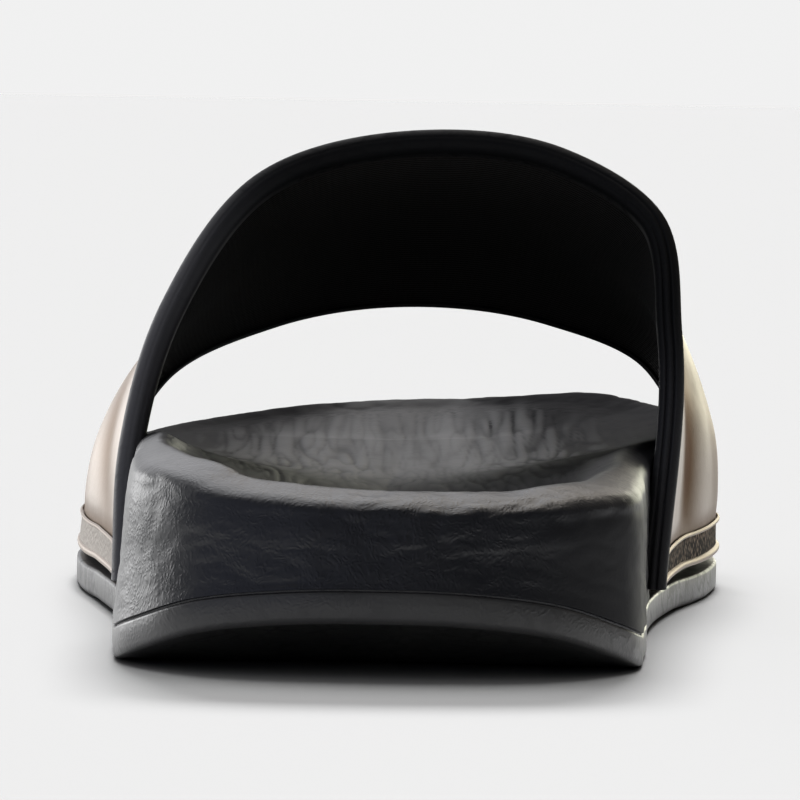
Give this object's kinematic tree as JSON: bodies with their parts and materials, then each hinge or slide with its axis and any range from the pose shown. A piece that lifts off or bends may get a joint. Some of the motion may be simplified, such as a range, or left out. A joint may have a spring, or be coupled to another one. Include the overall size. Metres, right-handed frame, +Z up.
{
  "type": "sport slide sandal",
  "caption": "Open slide sandal: moulded contoured footbed on a thin treaded outsole, with one wide strap bent over the forefoot.",
  "frame": {"origin": "on the floor under the middle of the heel, on the outsole's flat heel face", "axes": "+Y towards the toe, +X towards the medial side, +Z up"},
  "size_m": [0.0988, 0.2579, 0.07],
  "materials": {
    "outsole_rubber": "matt moulded rubber",
    "footbed_foam": "leather-grained moulded foam, satin",
    "strap_skin": "metallic coated synthetic leather, champagne bronze",
    "strap_lining": "matt black knitted lining",
    "edge_binding": "smooth blue-black folded edge"
  },
  "bodies": {
    "root": {"outsole": "outsole_rubber", "midsole": "footbed_foam", "strap": "strap_skin", "rear_binding": "edge_binding", "front_binding": "edge_binding", "lateral_hem": "strap_skin", "medial_hem": "strap_skin"}
  },
  "joints": []
}
